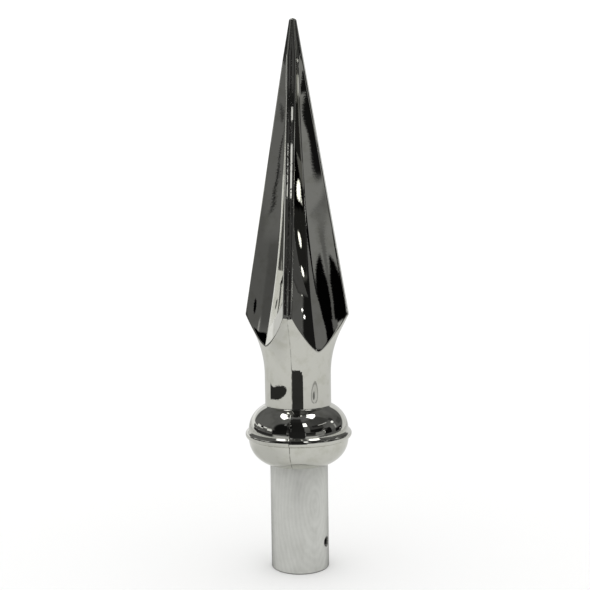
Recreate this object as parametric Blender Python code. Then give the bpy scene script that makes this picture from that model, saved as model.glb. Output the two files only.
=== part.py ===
"""Flagpole finial: a four-ridged spear over a turned bun, on a thin ferrule for a one inch pole.

The model stands on the ferrule's open lower end, which is at Z = 0, and points up +Z.
The front ridge of the spear, the one with the mould's parting line, faces -Y.
"""
import math

import bmesh
import bpy
from mathutils import Matrix, Vector

# Ferrule: the thin tube that slips over the end of the pole
FERRULE_BORE_RADIUS = 0.01275
FERRULE_WALL = 0.00075
FERRULE_LENGTH = 0.0494
FERRULE_EDGE_ROUNDING = 0.00030

# Screw hole through the ferrule's wall, turned from the front ridge toward +X
SCREW_HOLE_RADIUS = 0.0015
SCREW_SEAT_RADIUS = 0.0024
SCREW_SEAT_DEPTH = 0.0004
SCREW_HOLE_HEIGHT = 0.0127
SCREW_HOLE_AZIMUTH = math.radians(77.0)

# Fit: the ferrule is pressed over the spear's spigot and stops below the bun
FIT_CLEARANCE = 0.0003
SPIGOT_LENGTH = 0.0120
SPIGOT_LEAD_IN = 0.0008

# Bun: a turned body whose curve would close at BUN_HALF_HEIGHT above and below its middle
BUN_RADIUS = 0.0234
BUN_HALF_HEIGHT = 0.0161
BUN_SQUARENESS = 2.5
BUN_FOOT_RADIUS = 0.0154
BEAD_HALF_HEIGHT = 0.0019
BEAD_PROUD = 0.0014

# Neck: straight above the bun, then an arc into a straight flare up to the ridges' corners
NECK_RADIUS = 0.0154
NECK_ARC_RADIUS = 0.0458
FLARE_ANGLE = math.radians(28.2)
CORNER_HEIGHT = 0.0421

# Blade: four ridges with a narrow flat crest, and a valley between each two that grows shallower toward the neck.
# Ridge, valley and run-out rise are measured at the ridges' corners, where the blade is widest.
RIDGE_RADIUS = 0.0242
VALLEY_RADIUS = 0.0114
CREST_WIDTH = 0.0040
BLADE_LENGTH = 0.1348
TIP_RADIUS = 0.0018
TIP_ROUNDING = 0.0014
TIP_CREST_SHARE = 0.45
VALLEY_RUN_OUT_LENGTH = 0.0500
VALLEY_RUN_OUT_RISE = 0.0026

# Steps of the mesh
FERRULE_STEPS = 64
FACET_STEPS = 7
BUN_STEPS = 8
BEAD_STEPS = 6
NECK_STEPS = 10
BLADE_STEPS = 6
TIP_STEPS = 3
HOLE_STEPS = 16
SHARP_ANGLE = math.radians(22.0)

# Places that follow from the sizes above
FERRULE_OUTER_RADIUS = FERRULE_BORE_RADIUS + FERRULE_WALL
SPIGOT_RADIUS = FERRULE_BORE_RADIUS - FIT_CLEARANCE
BUN_FOOT_Z = FERRULE_LENGTH + FIT_CLEARANCE
COLUMNS_PER_QUARTER = 2 * (FACET_STEPS + 1)
COLUMNS = 4 * COLUMNS_PER_QUARTER


def remove_everything():
    """Empties the scene of the objects that it starts with."""
    for item in list(bpy.data.objects):
        bpy.data.objects.remove(item, do_unlink=True)


def make_material(name, colour, roughness, metallic):
    """Makes a Principled material."""
    material = bpy.data.materials.new(name)
    material.use_nodes = True
    shader = material.node_tree.nodes["Principled BSDF"]
    shader.inputs["Base Color"].default_value = (*colour, 1.0)
    shader.inputs["Roughness"].default_value = roughness
    shader.inputs["Metallic"].default_value = metallic
    return material


def make_object(name, bm, material, parent, location=(0.0, 0.0, 0.0)):
    """Turns a bmesh into a named object with one material, shaded smooth between its sharp edges."""
    mesh = bpy.data.meshes.new(name)
    bm.to_mesh(mesh)
    bm.free()
    mesh.shade_smooth()
    mesh.set_sharp_from_angle(angle=SHARP_ANGLE)
    mesh.materials.append(material)
    item = bpy.data.objects.new(name, mesh)
    bpy.context.scene.collection.objects.link(item)
    item.parent = parent
    item.location = location
    return item


def bun_height_at(radius):
    """Height above the bun's middle at which its curve has this radius."""
    share = (radius / BUN_RADIUS) ** BUN_SQUARENESS
    return BUN_HALF_HEIGHT * (1.0 - share) ** (1.0 / BUN_SQUARENESS)


def bun_radius_at(height):
    """Radius of the bun's curve at a height above or below its middle."""
    share = (abs(height) / BUN_HALF_HEIGHT) ** BUN_SQUARENESS
    return BUN_RADIUS * (1.0 - share) ** (1.0 / BUN_SQUARENESS)


BUN_MIDDLE = bun_height_at(BUN_FOOT_RADIUS)
NECK_FOOT = BUN_MIDDLE + bun_height_at(NECK_RADIUS)
CORNER = NECK_FOOT + CORNER_HEIGHT
TIP = CORNER + BLADE_LENGTH
SHOULDER = TIP - TIP_ROUNDING


def bun_curve(start, end, sign):
    """Points of the bun's side from one height off the middle to another, closer together where it turns in."""
    first = math.asin((start / BUN_HALF_HEIGHT) ** (BUN_SQUARENESS / 2.0))
    last = math.asin((end / BUN_HALF_HEIGHT) ** (BUN_SQUARENESS / 2.0))
    points = []
    for step in range(BUN_STEPS + 1):
        angle = first + (last - first) * step / BUN_STEPS
        height = BUN_HALF_HEIGHT * math.sin(angle) ** (2.0 / BUN_SQUARENESS)
        points.append((bun_radius_at(height), BUN_MIDDLE + sign * height))
    return points


def bead_curve():
    """Points of the bead round the bun's middle: one arc from its lower edge to its upper edge."""
    edge = bun_radius_at(BEAD_HALF_HEIGHT)
    proud = BUN_RADIUS + BEAD_PROUD - edge
    radius = (BEAD_HALF_HEIGHT ** 2 + proud ** 2) / (2.0 * proud)
    centre = edge + proud - radius
    half_angle = math.atan2(BEAD_HALF_HEIGHT, radius - proud)
    points = []
    for step in range(1, BEAD_STEPS):
        angle = half_angle * (2.0 * step / BEAD_STEPS - 1.0)
        points.append((centre + radius * math.cos(angle), BUN_MIDDLE + radius * math.sin(angle)))
    return points


def turned_profile():
    """Radius and height of the turned part, from the spigot's rim up to the foot of the neck."""
    spigot = [
        (SPIGOT_RADIUS - SPIGOT_LEAD_IN, -SPIGOT_LENGTH),
        (SPIGOT_RADIUS, SPIGOT_LEAD_IN - SPIGOT_LENGTH),
        (SPIGOT_RADIUS, 0.0),
    ]
    lower = bun_curve(BUN_MIDDLE, BEAD_HALF_HEIGHT, -1.0)
    upper = bun_curve(BEAD_HALF_HEIGHT, NECK_FOOT - BUN_MIDDLE, 1.0)
    return spigot + lower + bead_curve() + upper


def neck_radius_at(height):
    """Radius of the neck: straight, then an arc, then the straight flare that passes through the corners."""
    slope = math.tan(FLARE_ANGLE)
    arc_rise = NECK_ARC_RADIUS * math.sin(FLARE_ANGLE)
    arc_growth = NECK_ARC_RADIUS * (1.0 - math.cos(FLARE_ANGLE))
    flare_start = CORNER - (RIDGE_RADIUS - NECK_RADIUS - arc_growth) / slope
    along = min(max(height - (flare_start - arc_rise), 0.0), arc_rise)
    growth = NECK_ARC_RADIUS - math.sqrt(NECK_ARC_RADIUS ** 2 - along ** 2)
    return NECK_RADIUS + growth + max(height - flare_start, 0.0) * slope


def blade_sizes_at(height):
    """Ridge radius, valley radius and half of the crest's width of the blade's section at a height."""
    taper = (RIDGE_RADIUS - TIP_RADIUS) / (SHOULDER - CORNER)
    ridge = RIDGE_RADIUS - taper * (height - CORNER)
    run_out = max(CORNER + VALLEY_RUN_OUT_LENGTH - height, 0.0) / VALLEY_RUN_OUT_LENGTH
    valley = ridge * VALLEY_RADIUS / RIDGE_RADIUS + VALLEY_RUN_OUT_RISE * run_out ** 2
    half_crest = min(CREST_WIDTH / 2.0, TIP_CREST_SHARE * ridge)
    return ridge, valley, half_crest


def blade_point(column, height):
    """A point of the blade's star section, on one of the columns that run from the neck to the tip."""
    ridge, valley, half_crest = blade_sizes_at(height)
    quarter, step = divmod(column, COLUMNS_PER_QUARTER)
    mirrored = step > COLUMNS_PER_QUARTER // 2
    step = COLUMNS_PER_QUARTER - step if mirrored else step
    if step == 0:
        point = Vector((ridge, 0.0, height))
    else:
        share = (step - 1) / FACET_STEPS
        crest_edge = Vector((ridge, half_crest, height))
        valley_line = Vector((valley * math.sqrt(0.5), valley * math.sqrt(0.5), height))
        point = crest_edge.lerp(valley_line, share)
    if mirrored:
        point = Vector((point.y, point.x, height))
    return Matrix.Rotation(math.radians(90.0) * (quarter - 1), 3, "Z") @ point


def crease_height(column):
    """Height at which a column of the blade meets the neck's surface."""
    low, high = NECK_FOOT, TIP
    for _ in range(40):
        middle = (low + high) / 2.0
        if blade_point(column, middle).xy.length > neck_radius_at(middle):
            low = middle
        else:
            high = middle
    return low


def spear_rings():
    """Rings of points of the spear from the spigot's rim to the tip's shoulder and rounding."""
    creases = [crease_height(column) for column in range(COLUMNS)]
    directions = [blade_point(column, creases[column]).xy.normalized() for column in range(COLUMNS)]
    rings = []
    for radius, height in turned_profile():
        rings.append([Vector((*(way * radius), height)) for way in directions])
    for step in range(1, NECK_STEPS):
        ring = []
        for way, crease in zip(directions, creases):
            height = NECK_FOOT + (crease - NECK_FOOT) * step / NECK_STEPS
            ring.append(Vector((*(way * neck_radius_at(height)), height)))
        rings.append(ring)
    for step in range(BLADE_STEPS + 1):
        share = step / BLADE_STEPS
        rings.append([blade_point(column, creases[column] + (SHOULDER - creases[column]) * share)
                      for column in range(COLUMNS)])
    for step in range(1, TIP_STEPS):
        angle = math.radians(90.0) * step / TIP_STEPS
        rise = TIP_ROUNDING * math.sin(angle)
        ring = []
        for column in range(COLUMNS):
            point = blade_point(column, SHOULDER)
            ring.append(Vector((*(point.xy * math.cos(angle)), SHOULDER + rise)))
        rings.append(ring)
    return rings


def build_spear(material, parent):
    """The moulding: spigot, bun with its bead, neck and blade, joined ring by ring into one closed skin."""
    bm = bmesh.new()
    rings = [[bm.verts.new(point) for point in ring] for ring in spear_rings()]
    for lower, upper in zip(rings, rings[1:]):
        for index in range(COLUMNS):
            following = (index + 1) % COLUMNS
            bm.faces.new((lower[index], lower[following], upper[following], upper[index]))
    ends = (
        (rings[0], bm.verts.new((0.0, 0.0, -SPIGOT_LENGTH)), -1),
        (rings[-1], bm.verts.new((0.0, 0.0, TIP)), 1),
    )
    for ring, pole, turn in ends:
        for index in range(COLUMNS):
            corners = (ring[index], ring[(index + 1) % COLUMNS], pole)
            bm.faces.new(corners[::turn])
    return make_object("spear", bm, material, parent, (0.0, 0.0, BUN_FOOT_Z))


def ferrule_wall_outline():
    """The ferrule's wall in the XZ plane, with both outer edges rounded."""
    points = [(FERRULE_BORE_RADIUS, FERRULE_LENGTH), (FERRULE_BORE_RADIUS, 0.0)]
    corner_steps = 3
    for centre_z, first in ((FERRULE_EDGE_ROUNDING, -90.0), (FERRULE_LENGTH - FERRULE_EDGE_ROUNDING, 0.0)):
        centre_x = FERRULE_OUTER_RADIUS - FERRULE_EDGE_ROUNDING
        for step in range(corner_steps + 1):
            angle = math.radians(first + 90.0 * step / corner_steps)
            points.append((centre_x + FERRULE_EDGE_ROUNDING * math.cos(angle),
                           centre_z + FERRULE_EDGE_ROUNDING * math.sin(angle)))
    return points


def build_screw_cutter(parent):
    """A pin with a conical seat, across the wall: it is turned about +X and then swung round to its place."""
    seat_start = FERRULE_OUTER_RADIUS - SCREW_SEAT_DEPTH
    reach = FERRULE_WALL
    growth = (SCREW_SEAT_RADIUS - SCREW_HOLE_RADIUS) / SCREW_SEAT_DEPTH
    profile = (
        (FERRULE_BORE_RADIUS - reach, SCREW_HOLE_RADIUS),
        (seat_start, SCREW_HOLE_RADIUS),
        (FERRULE_OUTER_RADIUS + reach, SCREW_HOLE_RADIUS + growth * (SCREW_SEAT_DEPTH + reach)),
    )
    bm = bmesh.new()
    rings = []
    for along, radius in profile:
        ring = []
        for step in range(HOLE_STEPS):
            angle = 2.0 * math.pi * step / HOLE_STEPS
            ring.append(bm.verts.new((along, radius * math.cos(angle), radius * math.sin(angle))))
        rings.append(ring)
    for near, far in zip(rings, rings[1:]):
        for index in range(HOLE_STEPS):
            following = (index + 1) % HOLE_STEPS
            bm.faces.new((near[index], near[following], far[following], far[index]))
    bm.faces.new(rings[0])
    bm.faces.new(rings[-1])
    bmesh.ops.recalc_face_normals(bm, faces=bm.faces)
    mesh = bpy.data.meshes.new("screw_cutter")
    bm.to_mesh(mesh)
    bm.free()
    cutter = bpy.data.objects.new("screw_cutter", mesh)
    bpy.context.scene.collection.objects.link(cutter)
    cutter.parent = parent
    cutter.location = (0.0, 0.0, SCREW_HOLE_HEIGHT)
    cutter.rotation_euler = (0.0, 0.0, SCREW_HOLE_AZIMUTH - math.radians(90.0))
    cutter.hide_render = True
    cutter.display_type = "WIRE"
    return cutter


def build_ferrule(material, parent):
    """The tube: its wall's outline spun about the axis, with the screw hole cut through it."""
    bm = bmesh.new()
    corners = [bm.verts.new((x, 0.0, z)) for x, z in ferrule_wall_outline()]
    outline = [bm.edges.new((corner, following)) for corner, following in zip(corners, corners[1:] + corners[:1])]
    bmesh.ops.spin(bm, geom=corners + outline, cent=(0.0, 0.0, 0.0), axis=(0.0, 0.0, 1.0),
                   angle=2.0 * math.pi, steps=FERRULE_STEPS, use_merge=True)
    bmesh.ops.remove_doubles(bm, verts=bm.verts, dist=1e-6)
    bmesh.ops.recalc_face_normals(bm, faces=bm.faces)
    ferrule = make_object("ferrule", bm, material, parent)
    hole = ferrule.modifiers.new("screw_hole", "BOOLEAN")
    hole.operation = "DIFFERENCE"
    hole.solver = "EXACT"
    hole.object = build_screw_cutter(parent)
    return ferrule


def build_finial():
    """Builds the whole finial under one empty."""
    remove_everything()
    root = bpy.data.objects.new("finial", None)
    bpy.context.scene.collection.objects.link(root)
    chrome = make_material("bright_chrome", (0.74, 0.74, 0.72), 0.06, 1.0)
    satin = make_material("satin_plating", (0.60, 0.60, 0.57), 0.34, 1.0)
    build_spear(chrome, root)
    build_ferrule(satin, root)


build_finial()
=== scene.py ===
# %% [markdown]
# # A chromed spear finial for a flagpole
# The object is a spear head cast in one mould, with a turned bun below it, on a thin tube that slips
# over a pole. Almost everything that the eye sees on it is a reflection, so this lesson spends its
# effort on two things: a skin that is smooth enough for a mirror, and a plain studio worth mirroring.

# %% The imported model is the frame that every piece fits
import math

import bmesh
import bpy
import numpy as np
from mathutils import Matrix, Vector


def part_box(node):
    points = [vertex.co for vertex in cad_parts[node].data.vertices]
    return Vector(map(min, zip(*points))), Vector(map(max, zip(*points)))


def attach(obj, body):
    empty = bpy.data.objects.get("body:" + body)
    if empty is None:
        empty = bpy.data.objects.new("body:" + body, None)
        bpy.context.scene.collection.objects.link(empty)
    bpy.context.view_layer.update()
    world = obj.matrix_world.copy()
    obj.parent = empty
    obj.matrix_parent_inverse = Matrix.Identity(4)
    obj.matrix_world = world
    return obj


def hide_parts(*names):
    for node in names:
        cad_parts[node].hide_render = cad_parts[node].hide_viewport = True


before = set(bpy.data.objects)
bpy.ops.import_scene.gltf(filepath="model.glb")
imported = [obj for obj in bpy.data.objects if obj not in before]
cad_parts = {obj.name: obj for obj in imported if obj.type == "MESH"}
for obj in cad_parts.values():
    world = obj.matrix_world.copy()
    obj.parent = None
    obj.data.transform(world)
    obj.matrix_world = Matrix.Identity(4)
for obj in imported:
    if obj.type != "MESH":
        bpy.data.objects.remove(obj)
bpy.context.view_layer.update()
spear_low, spear_high = (Vector(corner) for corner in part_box("spear"))
ferrule_low, ferrule_high = (Vector(corner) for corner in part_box("ferrule"))
MM = 0.001

# %% [markdown]
# ## Helpers
# An operator acts on everything that is selected, and the imported frame arrives selected, so each
# step starts from nothing selected. A finished piece keeps its place in its mesh, rides on the one
# body, and prints what it measures.

# %% Selecting, and handing a piece over
def select_only(piece):
    """Leaves one object selected and active."""
    bpy.ops.object.select_all(action="DESELECT")
    piece.select_set(True)
    bpy.context.view_layer.objects.active = piece


def shade_smooth(piece, angle_degrees):
    """Shades a piece smooth, with hard edges where its faces turn by more than the angle."""
    select_only(piece)
    bpy.ops.object.shade_smooth_by_angle(angle=math.radians(angle_degrees))


def enclosed(piece):
    """Volume inside a closed piece in cubic millimetres, which is negative if it is inside out."""
    shell = bmesh.new()
    shell.from_mesh(piece.data)
    volume = shell.calc_volume(signed=True) / MM ** 3
    shell.free()
    return round(volume)


def hand_over(piece, node, material):
    """Lets a piece stand for its node of the frame, with its finish."""
    piece.data.materials.clear()
    piece.data.materials.append(material)
    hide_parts(node)
    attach(piece, "root")
    triangles = sum(len(face.vertices) - 2 for face in piece.data.polygons)
    low = [round(min(v.co[axis] for v in piece.data.vertices) / MM, 2) for axis in range(3)]
    high = [round(max(v.co[axis] for v in piece.data.vertices) / MM, 2) for axis in range(3)]
    print(f"{piece.name}: {triangles} triangles, {enclosed(piece)} cubic mm, {low} to {high} mm")


# %% [markdown]
# ## Camera
# The photograph looks slightly down from about 45 cm away, a hand's breadth above the blade's foot,
# and the front ridge is turned a little to the left of the lens. The picture leans by less than a
# degree, which is kept as the camera's roll.

# %% Camera
CAMERA_DISTANCE = 444 * MM
CAMERA_HEIGHT = 161.3 * MM
CAMERA_AZIMUTH = math.radians(10.4)
CAMERA_PITCH = math.radians(4.315)
CAMERA_YAW = math.radians(0.10)
CAMERA_ROLL = math.radians(0.83)
CAMERA_LENS = 58.66

camera_data = bpy.data.cameras.new("camera")
camera_data.lens = CAMERA_LENS
camera_data.sensor_width = 36.0
camera_data.clip_start = 0.01
camera = bpy.data.objects.new("camera", camera_data)
bpy.context.scene.collection.objects.link(camera)
bpy.context.scene.camera = camera
away = Vector((math.sin(CAMERA_AZIMUTH), -math.cos(CAMERA_AZIMUTH), 0.0))
turn = (Matrix.Rotation(CAMERA_AZIMUTH + CAMERA_YAW, 4, "Z")
        @ Matrix.Rotation(math.radians(90.0) - CAMERA_PITCH, 4, "X")
        @ Matrix.Rotation(-CAMERA_ROLL, 4, "Z"))
place = away * CAMERA_DISTANCE + Vector((0.0, 0.0, CAMERA_HEIGHT))
camera.matrix_world = Matrix.Translation(place) @ turn
print("camera at", [round(value, 3) for value in place], "lens", CAMERA_LENS)

# %% [markdown]
# ## The spear's skin
# A mirror shows every uneven face, and a Boolean of a turned blank with a four-sided spike leaves
# long thin faces along the cut. So the skin is one even net instead. Each upright thread of the net
# follows one mark of the blade's star section, comes down to the crease where blade meets neck, and
# then runs straight down over the neck and the bun. All of its places come from a few sizes.

# %% Sizes of the spear, with heights counted from the bun's foot
BUN_RADIUS = 23.4 * MM
BUN_HALF_HEIGHT = 16.1 * MM
BUN_SQUARENESS = 2.5
BUN_FOOT_RADIUS = 15.4 * MM
BEAD_HALF_HEIGHT = 1.9 * MM
BEAD_RADIUS = spear_high.x
NECK_RADIUS = 15.4 * MM
NECK_ARC_RADIUS = 45.8 * MM
FLARE_ANGLE = math.radians(28.2)
RIDGE_RADIUS = 24.2 * MM
VALLEY_RADIUS = 11.4 * MM
HALF_CREST = 2.0 * MM
TIP_RADIUS = 1.8 * MM
TIP_ROUNDING = 1.4 * MM
TIP_CREST_SHARE = 0.45
UPPER_FLOOR_SHARE = 0.16
UPPER_FLOOR_SOFTNESS = 0.12 * MM
RUN_OUT_LENGTH = 50.0 * MM
RUN_OUT_RISES = (2.5 * MM, 2.6 * MM, 2.6 * MM, 3.2 * MM)
CORNER_HEIGHT = 42.1 * MM
SPIGOT_RADIUS = 12.45 * MM
SPIGOT_LENGTH = 12.0 * MM
SPIGOT_LEAD_IN = 0.8 * MM
BUN_FOOT_Z = spear_low.z + SPIGOT_LENGTH


def superellipse(radius):
    """Height above the bun's middle at which its curve has this radius."""
    return BUN_HALF_HEIGHT * (1.0 - (radius / BUN_RADIUS) ** BUN_SQUARENESS) ** (1.0 / BUN_SQUARENESS)


MIDDLE = superellipse(BUN_FOOT_RADIUS)
NECK_FOOT = MIDDLE + superellipse(NECK_RADIUS)
CORNER = NECK_FOOT + CORNER_HEIGHT
TIP = spear_high.z - BUN_FOOT_Z
SHOULDER = TIP - TIP_ROUNDING
stations = {"bun middle": MIDDLE, "neck foot": NECK_FOOT, "corner": CORNER, "tip": TIP}
print("heights in mm:", {name: round(height / MM, 2) for name, height in stations.items()})

# %% [markdown]
# The plated casting has no knife edges: crests, valleys, the crease under the blade and the bead's
# quirks are all a little round. Crests and valleys get true arcs in the section. Where two turned
# surfaces meet, a soft minimum or maximum blends them over a fraction of a millimetre. The neck is a
# short straight shaft, an arc, and then a cone that flares out to the ridges' lower corners.

# %% Blends, the turned profile and the neck
CREST_ROUNDING = 0.7 * MM
VALLEY_ROUNDING = 1.2 * MM
VALLEY_FOOT_ROUNDINGS = (6.5 * MM, 4.5 * MM, 4.5 * MM, 2.2 * MM)
CREASE_SOFTNESS = 0.10 * MM
BEAD_SOFTNESS = 0.07 * MM
NECK_FOOT_SOFTNESS = 0.12 * MM
BEAD_FALL = 4.0
ALMOST_ONE = 0.9999


def soft_minimum(first, second, softness):
    """The smaller of two values, rounded where they cross."""
    return (first + second) / 2.0 - np.sqrt(((first - second) / 2.0) ** 2 + softness ** 2)


def soft_maximum(first, second, softness):
    """The larger of two values, rounded where they cross."""
    return (first + second) / 2.0 + np.sqrt(((first - second) / 2.0) ** 2 + softness ** 2)


def bun_profile(height):
    """Radius of the bun with its bead, up to the neck."""
    off = np.abs(height - MIDDLE)
    share = np.clip(off / BUN_HALF_HEIGHT, 0.0, ALMOST_ONE)
    body = BUN_RADIUS * (1.0 - share ** BUN_SQUARENESS) ** (1.0 / BUN_SQUARENESS)
    proud = BEAD_RADIUS - BUN_RADIUS
    arc = (BEAD_HALF_HEIGHT ** 2 + proud ** 2) / (2.0 * proud)
    inside = np.sqrt(np.clip(arc ** 2 - off ** 2, 0.0, None))
    beyond = np.clip(off - arc, 0.0, None) * BEAD_FALL
    bead = BEAD_RADIUS - arc + inside - beyond
    with_bead = soft_maximum(body, bead, BEAD_SOFTNESS)
    return np.where(height > MIDDLE, soft_maximum(with_bead, NECK_RADIUS, NECK_FOOT_SOFTNESS), with_bead)


SWELLING = NECK_ARC_RADIUS * (1.0 - math.cos(FLARE_ANGLE))
ARC_END = CORNER - (RIDGE_RADIUS - NECK_RADIUS - SWELLING) / math.tan(FLARE_ANGLE)
ARC_START = ARC_END - NECK_ARC_RADIUS * math.sin(FLARE_ANGLE)


def neck_profile(height):
    """Radius of the neck: straight, an arc, then the flare that passes through the ridges' corners."""
    along = np.clip(height - ARC_START, 0.0, ARC_END - ARC_START)
    growth = NECK_ARC_RADIUS - np.sqrt(NECK_ARC_RADIUS ** 2 - along ** 2)
    return NECK_RADIUS + growth + np.clip(height - ARC_END, 0.0, None) * math.tan(FLARE_ANGLE)


neck_breaks = [round(height / MM, 2) for height in (ARC_START, ARC_END)]
print("neck's arc starts and ends in mm above the bun's foot:", neck_breaks)

# %% [markdown]
# Each eighth of the star section has four stretches: the flat crest, the arc that rounds its edge,
# the facet, and the arc in the valley. A mark is a stretch and a share along it. The crest has a few
# extra marks close to its middle for the mould's parting line.

# %% Marks round the section
CREST_MARKS = (0.0, 0.07, 0.14, 0.25, 0.5, 0.75)
ARC_STEPS = 6
FACET_STEPS = 26
VALLEY_STEPS = 8

eighth = [(0, share) for share in CREST_MARKS]
eighth += [(1, step / ARC_STEPS) for step in range(ARC_STEPS)]
eighth += [(2, step / FACET_STEPS) for step in range(FACET_STEPS)]
eighth += [(3, step / VALLEY_STEPS) for step in range(VALLEY_STEPS + 1)]
quarter = [(stretch, share, False) for stretch, share in eighth]
quarter += [(stretch, share, True) for stretch, share in reversed(eighth[1:-1])]
marks = [(stretch, share, mirrored, turns) for turns in range(4) for stretch, share, mirrored in quarter]
stretches, shares, mirrors, turns = (np.array(values) for values in zip(*marks))
rises = np.array(RUN_OUT_RISES)[turns]
foot_roundings = np.array(VALLEY_FOOT_ROUNDINGS)[turns]
COLUMNS = len(marks)
print("threads round the section:", COLUMNS)

# %% [markdown]
# Two things change along the blade. In its lowest part the valleys run out towards the neck, each by
# its own amount. Near the tip their floors stay a set share of the way out from the crest's edge to
# the ridge, because a facet that twisted there would bend everything that it mirrors.

# %% The star section at any height
EIGHTH_TURN = math.radians(45.0)
DIAGONAL = math.sqrt(0.5)
LARGEST_ARC_SHARE = 0.3
LIFT_PASSES = 3


def star_section(height):
    """X and Y of every mark at the given heights, an array whose last axis runs over the marks."""
    ridge = RIDGE_RADIUS - (RIDGE_RADIUS - TIP_RADIUS) * (height - CORNER) / (SHOULDER - CORNER)
    run_out = np.clip(CORNER + RUN_OUT_LENGTH - height, 0.0, None) / RUN_OUT_LENGTH
    half_crest = np.minimum(HALF_CREST, TIP_CREST_SHARE * ridge)
    floor_of_valley = (ridge * VALLEY_RADIUS / RIDGE_RADIUS + rises * run_out ** 2) * DIAGONAL
    flat_facet = half_crest + (ridge - half_crest) * UPPER_FLOOR_SHARE
    floor_of_valley = soft_maximum(floor_of_valley, flat_facet, UPPER_FLOOR_SOFTNESS)
    crest_arc = np.minimum(CREST_ROUNDING, LARGEST_ARC_SHARE * ridge)
    valley_arc = np.minimum(VALLEY_ROUNDING, LARGEST_ARC_SHARE * ridge)
    valley_arc = valley_arc + (foot_roundings - VALLEY_ROUNDING) * run_out
    valley = floor_of_valley
    for _ in range(LIFT_PASSES):
        facet = np.arctan2(ridge - valley, valley - half_crest)
        lift = valley_arc * (1.0 / np.cos(facet - EIGHTH_TURN) - 1.0)
        valley = floor_of_valley - lift * DIAGONAL
    facet = np.arctan2(ridge - valley, valley - half_crest)
    crest_trim = crest_arc * np.tan(facet / 2.0)
    valley_trim = valley_arc * np.tan(facet - EIGHTH_TURN)
    length = np.hypot(ridge - valley, valley - half_crest)
    along = crest_trim + (length - crest_trim - valley_trim) * shares
    arc_turn = facet * shares
    valley_turn = facet + (EIGHTH_TURN - facet) * shares
    middle = valley + valley_arc / np.cos(facet - EIGHTH_TURN) * DIAGONAL
    flat = half_crest - crest_trim
    x = np.select([stretches == 0, stretches == 1, stretches == 2], [
        ridge + 0.0 * shares,
        ridge - crest_arc + crest_arc * np.cos(arc_turn),
        ridge - along * np.sin(facet),
    ], middle - valley_arc * np.cos(valley_turn))
    y = np.select([stretches == 0, stretches == 1, stretches == 2], [
        flat * shares,
        flat + crest_arc * np.sin(arc_turn),
        half_crest + along * np.cos(facet),
    ], middle - valley_arc * np.sin(valley_turn))
    x, y = np.where(mirrors, y, x), np.where(mirrors, x, y)
    swing = math.radians(90.0) * (turns - 1)
    return x * np.cos(swing) - y * np.sin(swing), x * np.sin(swing) + y * np.cos(swing)


# %% [markdown]
# The crease is found by halving: at each thread, the height at which the blade's section and the
# neck are equally wide.

# %% The crease of each thread
HALVINGS = 40

low = np.full(COLUMNS, NECK_FOOT)
high = np.full(COLUMNS, TIP)
for _ in range(HALVINGS):
    halfway = (low + high) / 2.0
    outside = np.hypot(*star_section(halfway)) > neck_profile(halfway)
    low, high = np.where(outside, halfway, low), np.where(outside, high, halfway)
crease = low
crease_x, crease_y = star_section(crease)
crease_angle = np.arctan2(crease_y, crease_x)
crease_reach = [round(height / MM, 2) for height in (crease.min(), crease.max())]
print("crease from and to in mm above the bun's foot:", crease_reach)

# %% [markdown]
# Rows are close together where the surface turns quickly: over the bead, at the neck's foot and at
# the crease. Rows above the neck's foot follow the crease, so that it never cuts across a face.

# %% Heights of the rows
BEAD_ZONE = 2.5 * MM
FOOT_ZONE = 0.9 * MM
CREASE_ZONE = 3.0 * MM
LOWER_BUN_ROWS = 26
BEAD_ROWS = 50
UPPER_BUN_ROWS = 28
FOOT_ROWS = 18
NECK_ROWS = 24
CREASE_ROWS = 18
BLADE_ROWS = 42


def along_bun(start, end, count):
    """Distances from the bun's middle, from one to another, that lie closer where it curves more."""
    power = BUN_SQUARENESS / 2.0
    first, last = (math.asin((value / BUN_HALF_HEIGHT) ** power) for value in (start, end))
    return BUN_HALF_HEIGHT * np.sin(np.linspace(first, last, count)) ** (2.0 / BUN_SQUARENESS)


def turned_rows():
    """Heights of the rows on the bun, from its foot to just above the neck's foot."""
    lower = MIDDLE - along_bun(MIDDLE, BEAD_ZONE, LOWER_BUN_ROWS)
    bead = np.linspace(MIDDLE - BEAD_ZONE, MIDDLE + BEAD_ZONE, BEAD_ROWS)[1:-1]
    upper = MIDDLE + along_bun(BEAD_ZONE, NECK_FOOT - FOOT_ZONE - MIDDLE, UPPER_BUN_ROWS)
    foot = np.linspace(NECK_FOOT - FOOT_ZONE, NECK_FOOT + FOOT_ZONE, FOOT_ROWS)[1:]
    return np.concatenate([lower, bead, upper, foot])


def rising_rows():
    """Heights of the rows from the neck's foot to the tip's shoulder, one column for each thread."""
    start = NECK_FOOT + FOOT_ZONE
    below = start + (crease - CREASE_ZONE - start) * np.linspace(0.0, 1.0, NECK_ROWS)[1:, None]
    around = crease + CREASE_ZONE * np.linspace(-1.0, 1.0, CREASE_ROWS)[1:, None]
    left = SHOULDER - crease - CREASE_ZONE
    above = crease + CREASE_ZONE + left * np.linspace(0.0, 1.0, BLADE_ROWS)[1:, None]
    return np.concatenate([below, around, above])


print("rows on the bun and above it:", len(turned_rows()), len(rising_rows()))

# %% [markdown]
# The parting line is where the two halves of the mould met: a hair of raised metal down the middle
# of the front and back ridges, over the neck and the bun. It is real geometry, less than a tenth of a
# millimetre proud, on the extra marks of the crest.

# %% Places of the net's knots
PARTING_PROUD = 0.07 * MM
PARTING_PROFILE = {0.0: 1.0, 0.07: 0.55, 0.14: 0.08}
TIP_STEPS = 7

parting = np.array([
    PARTING_PROFILE.get(share, 0.0) if stretch == 0 and mirrored == (turned % 2 == 1) else 0.0
    for stretch, share, mirrored, turned in marks
])


def row_of(radius, angle, height):
    """One row of knots from radii, angles and heights."""
    flat = np.broadcast_to(height, angle.shape)
    return np.stack([radius * np.cos(angle), radius * np.sin(angle), flat + BUN_FOOT_Z], axis=-1)


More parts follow.
